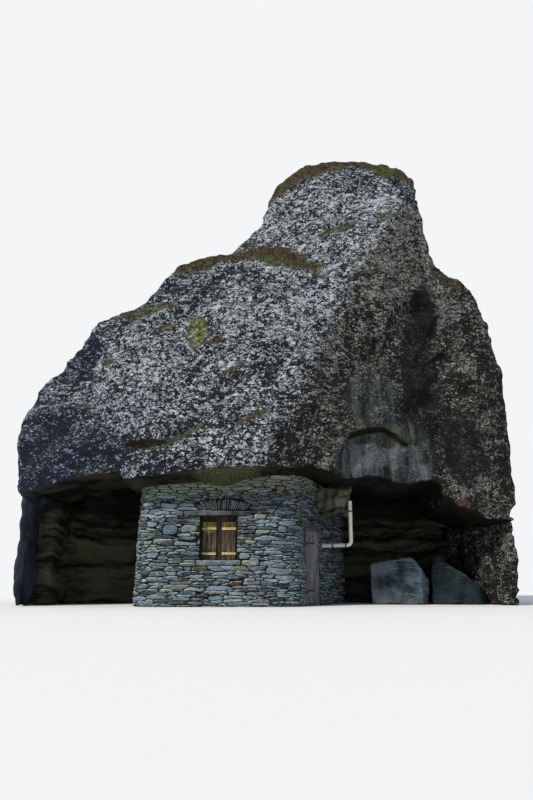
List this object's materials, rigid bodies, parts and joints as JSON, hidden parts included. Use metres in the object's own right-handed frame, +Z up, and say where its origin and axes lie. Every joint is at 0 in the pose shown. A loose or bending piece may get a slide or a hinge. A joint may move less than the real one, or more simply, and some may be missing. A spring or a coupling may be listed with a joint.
{
  "type": "stone hut under a boulder",
  "caption": "Dry-stone hut walled in under the overhang of a great boulder that serves as its roof, with shuttered window, plank door and flue pipe.",
  "frame": {"origin": "at the foot of the front wall, below the middle of the window and half way through the wall's thickness", "axes": "+X to the right of someone facing the window, +Y back under the boulder, +Z up"},
  "size_m": [10.98, 7.3, 11.5793],
  "materials": {
    "boulder_stone": "rough, lichen-covered",
    "ledge_stone": "rough, damp and dark",
    "slab_stone": "split face",
    "wall_stone": "dry-laid thin slabs",
    "dressed_stone": "split slab",
    "mortar": "rough",
    "frame_wood": "weathered",
    "plank_wood": "weathered",
    "batten_wood": "weathered, pale",
    "iron": "rusted",
    "flue_metal": "cream enamel, dull"
  },
  "bodies": {
    "hut": {"roof_boulder": "boulder_stone", "left_foot_block": "ledge_stone", "back_ledge_left": "ledge_stone", "back_ledge_middle": "ledge_stone", "back_ledge_right": "ledge_stone", "right_foot_rock": "ledge_stone", "hanging_rock": "ledge_stone", "fallen_slab_left": "slab_stone", "fallen_slab_right": "slab_stone", "wall_left_return": "wall_stone", "wall_left_corner": "wall_stone", "wall_front_left": "wall_stone", "wall_under_window": "wall_stone", "wall_over_window": "wall_stone", "wall_front_right": "wall_stone", "wall_right_corner": "wall_stone", "wall_over_door": "wall_stone", "wall_behind_door": "wall_stone", "relieving_fan": "wall_stone", "window_lintel": "dressed_stone", "window_sill": "dressed_stone", "door_lintel": "dressed_stone", "door_threshold": "dressed_stone", "flue_plug": "mortar", "window_frame": "frame_wood", "door_frame": "frame_wood", "shutter_left": "plank_wood", "shutter_right": "plank_wood", "battens_left": "batten_wood", "battens_right": "batten_wood", "door_pintles": "iron", "flue_hanger": "iron", "flue_rings": "iron", "flue_level": "flue_metal", "flue_elbow": "flue_metal", "flue_riser": "flue_metal"},
    "door": {"door_boards": "plank_wood", "door_ledges": "plank_wood", "door_straps": "iron"}
  },
  "joints": [
    {"name": "door_hinge", "type": "hinge", "parent": "hut", "child": "door", "pos_m": [1.83303, 0.25232, 0.8], "axis": [0, 0, -1], "range_deg": [0, 100]}
  ]
}
